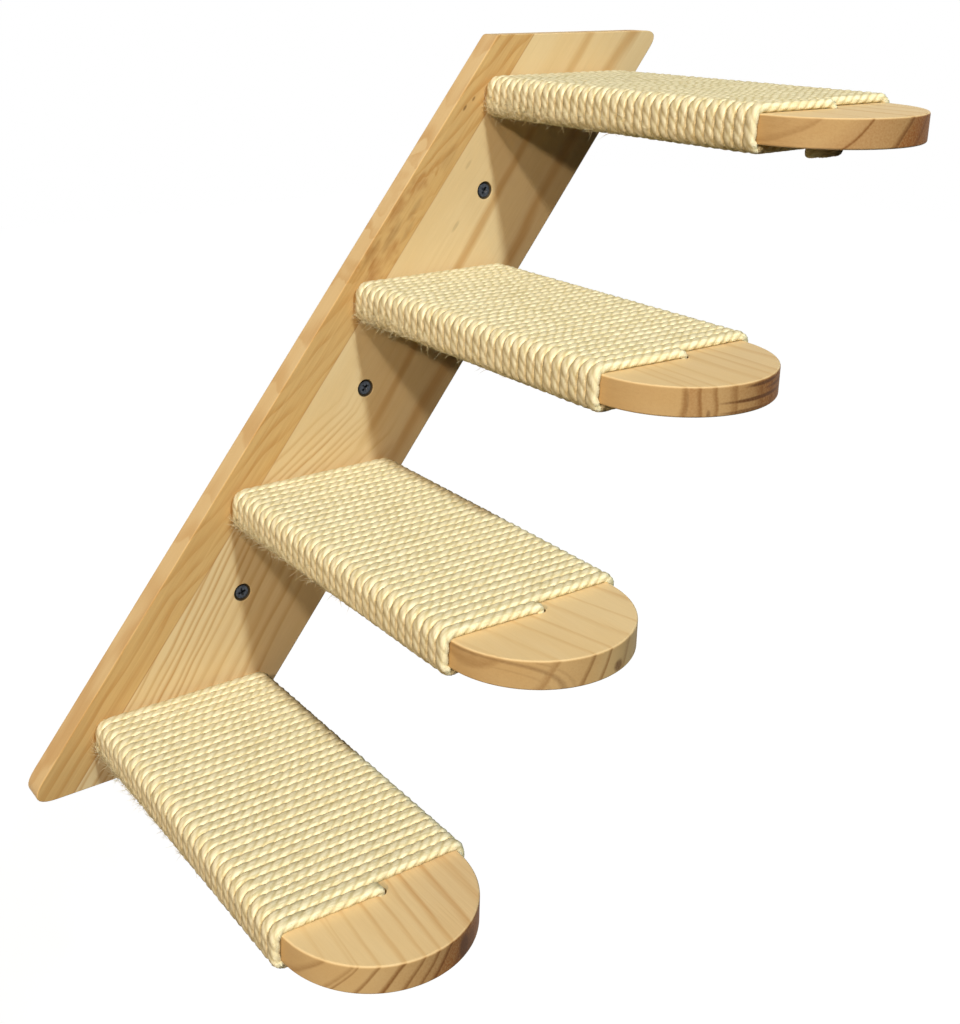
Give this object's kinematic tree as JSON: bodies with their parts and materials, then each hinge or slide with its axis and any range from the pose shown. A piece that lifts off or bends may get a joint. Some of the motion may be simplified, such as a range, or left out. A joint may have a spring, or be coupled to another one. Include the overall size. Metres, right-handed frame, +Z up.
{
  "type": "wall mounted cat climbing stair",
  "caption": "Leaning wall backboard with cantilevered round-nosed wooden steps, each wound with sisal rope, for a cat to climb.",
  "frame": {"origin": "on the wall plane, at the back face of the backboard, behind the middle of the lowest step", "axes": "+X along the wall towards the top of the stair, +Y into the wall, +Z up"},
  "size_m": [0.4575, 0.3084, 0.4178],
  "materials": {
    "backboard": "planed pine, clear matt finish",
    "step_board_1": "planed pine, clear matt finish",
    "step_board_2": "planed pine, clear matt finish",
    "step_board_3": "planed pine, clear matt finish",
    "step_board_4": "planed pine, clear matt finish",
    "rope": "natural twisted sisal, slightly hairy",
    "wall_screw": "dull plated steel, cross recess",
    "step_screw": "zinc plated steel, cross recess"
  },
  "bodies": {
    "root": {"backboard": "backboard", "wall_screw_1": "wall_screw", "wall_screw_2": "wall_screw", "wall_screw_3": "wall_screw", "step_board_1": "step_board_1", "rope_wrap_1": "rope", "step_screw_1_left": "step_screw", "step_screw_1_right": "step_screw", "step_board_2": "step_board_2", "rope_wrap_2": "rope", "step_screw_2_left": "step_screw", "step_screw_2_right": "step_screw", "step_board_3": "step_board_3", "rope_wrap_3": "rope", "step_screw_3_left": "step_screw", "step_screw_3_right": "step_screw", "step_board_4": "step_board_4", "rope_wrap_4": "rope", "step_screw_4_left": "step_screw", "step_screw_4_right": "step_screw"}
  },
  "joints": []
}
